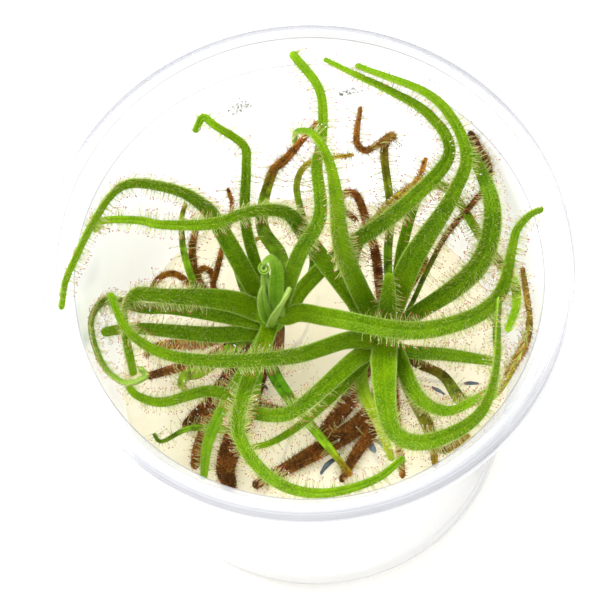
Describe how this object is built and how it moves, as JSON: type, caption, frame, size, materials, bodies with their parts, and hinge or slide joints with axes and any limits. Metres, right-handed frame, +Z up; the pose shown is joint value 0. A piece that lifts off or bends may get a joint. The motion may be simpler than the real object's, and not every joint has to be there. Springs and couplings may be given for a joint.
{
  "type": "sundew plant",
  "caption": "Clear plastic culture cup with a stepped rim, holding a bed of pale gel and sundew rosettes of long arching leaves edged with sticky tentacles.",
  "frame": {"origin": "centre of the cup's foot, on the surface it stands on", "axes": "+Z up along the cup's axis, -Y towards the front as the picture sees it, +X to the right"},
  "size_m": [0.0984, 0.0984, 0.0846],
  "materials": {
    "clear_plastic": "clear, colourless, smooth",
    "nutrient_gel": "cloudy, moist, pale cream",
    "green_leaf": "soft sheen, fine pale down",
    "withered_leaf": "dry, dull, fuzzy"
  },
  "bodies": {
    "root": {"cup": "clear_plastic", "gel": "nutrient_gel", "rosette_left": "green_leaf", "rosette_right": "green_leaf", "stem_left": "withered_leaf", "stem_right": "withered_leaf"}
  },
  "joints": []
}
